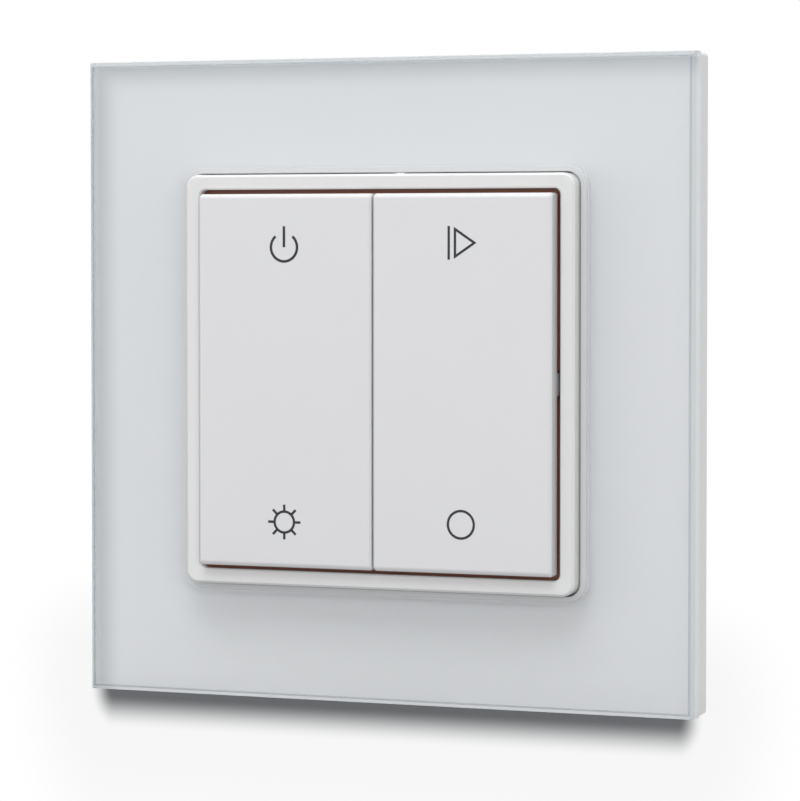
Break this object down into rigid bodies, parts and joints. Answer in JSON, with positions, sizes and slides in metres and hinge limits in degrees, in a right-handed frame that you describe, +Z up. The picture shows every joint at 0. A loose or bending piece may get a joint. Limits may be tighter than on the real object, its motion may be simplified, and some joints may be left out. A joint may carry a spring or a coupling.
{
  "type": "wireless dimmer switch",
  "caption": "Square glass-fronted wall frame round a raised ring with two tall rockers, pressed at either end, over a coin-cell radio module that clips to a wall plate.",
  "frame": {"origin": "middle of the face that lies on the wall", "axes": "+X to the right, +Z up, -Y towards the user, the wall face looks along +Y"},
  "size_m": [0.086, 0.0116, 0.086],
  "materials": {
    "white_plastic": "glossy white ABS",
    "rocker_plastic": "satin white polycarbonate",
    "carrier_plastic": "matt dark red-brown moulding",
    "clear_glass": "clear toughened float glass, polished bevel",
    "white_film": "white printed film",
    "clear_glue": "acrylic transfer glue",
    "board_laminate": "green solder mask on glass laminate",
    "black_epoxy": "black moulded epoxy",
    "tin_plate": "tin-plated sheet",
    "spring_steel": "stainless spring sheet",
    "cell_steel": "nickel-plated cell can",
    "ceramic_chip": "sintered ceramic chip bodies",
    "black_plastic": "black moulded switch bodies",
    "button_plastic": "natural acetal",
    "grey_plastic": "grey glass-filled nylon",
    "zinc_screw": "zinc-plated steel",
    "pad_foam": "white acrylic foam"
  },
  "bodies": {
    "housing": {"glass_plate": "clear_glass", "back_print": "white_film", "glass_adhesive": "clear_glue", "frame_body": "white_plastic", "opening_trim": "white_plastic", "bezel_ring": "white_plastic", "rocker_carrier": "carrier_plastic", "switch_bases": "black_plastic", "switch_domes": "spring_steel", "circuit_board": "board_laminate", "coin_cell": "cell_steel", "battery_holder": "black_plastic", "positive_contact": "spring_steel", "negative_contact": "tin_plate", "shield_can": "tin_plate", "controller_chip": "black_epoxy", "crystal": "tin_plate", "passive_components": "ceramic_chip", "antenna": "tin_plate", "rear_cover": "grey_plastic", "case_screws": "zinc_screw", "mounting_plate": "grey_plastic", "adhesive_pads": "pad_foam"},
    "left_rocker": {"left_rocker": "rocker_plastic"},
    "right_rocker": {"right_rocker": "rocker_plastic"},
    "left_bottom_plunger": {"left_bottom_plunger": "button_plastic"},
    "left_top_plunger": {"left_top_plunger": "button_plastic"},
    "right_bottom_plunger": {"right_bottom_plunger": "button_plastic"},
    "right_top_plunger": {"right_top_plunger": "button_plastic"}
  },
  "joints": [
    {"name": "left_rocker_tilt", "type": "hinge", "parent": "housing", "child": "left_rocker", "pos_m": [-0.01252, -0.0084, 0], "axis": [1, 0, 0], "range_deg": [-2, 2], "stiffness_Nm_per_rad": 1.8},
    {"name": "left_bottom_press", "type": "slide", "parent": "housing", "child": "left_bottom_plunger", "axis": [0, 1, 0], "range_m": [-0.00028, 0.00028]},
    {"name": "left_top_press", "type": "slide", "parent": "housing", "child": "left_top_plunger", "axis": [0, 1, 0], "range_m": [-0.00028, 0.00028]},
    {"name": "right_rocker_tilt", "type": "hinge", "parent": "housing", "child": "right_rocker", "pos_m": [0.01252, -0.0084, 0], "axis": [1, 0, 0], "range_deg": [-2, 2], "stiffness_Nm_per_rad": 1.8},
    {"name": "right_bottom_press", "type": "slide", "parent": "housing", "child": "right_bottom_plunger", "axis": [0, 1, 0], "range_m": [-0.00028, 0.00028]},
    {"name": "right_top_press", "type": "slide", "parent": "housing", "child": "right_top_plunger", "axis": [0, 1, 0], "range_m": [-0.00028, 0.00028]}
  ],
  "couplings": [
    {"joint": "left_bottom_press", "follows": "left_rocker_tilt", "m_per_rad": 0.008},
    {"joint": "left_top_press", "follows": "left_rocker_tilt", "m_per_rad": -0.008},
    {"joint": "right_bottom_press", "follows": "right_rocker_tilt", "m_per_rad": 0.008},
    {"joint": "right_top_press", "follows": "right_rocker_tilt", "m_per_rad": -0.008}
  ]
}
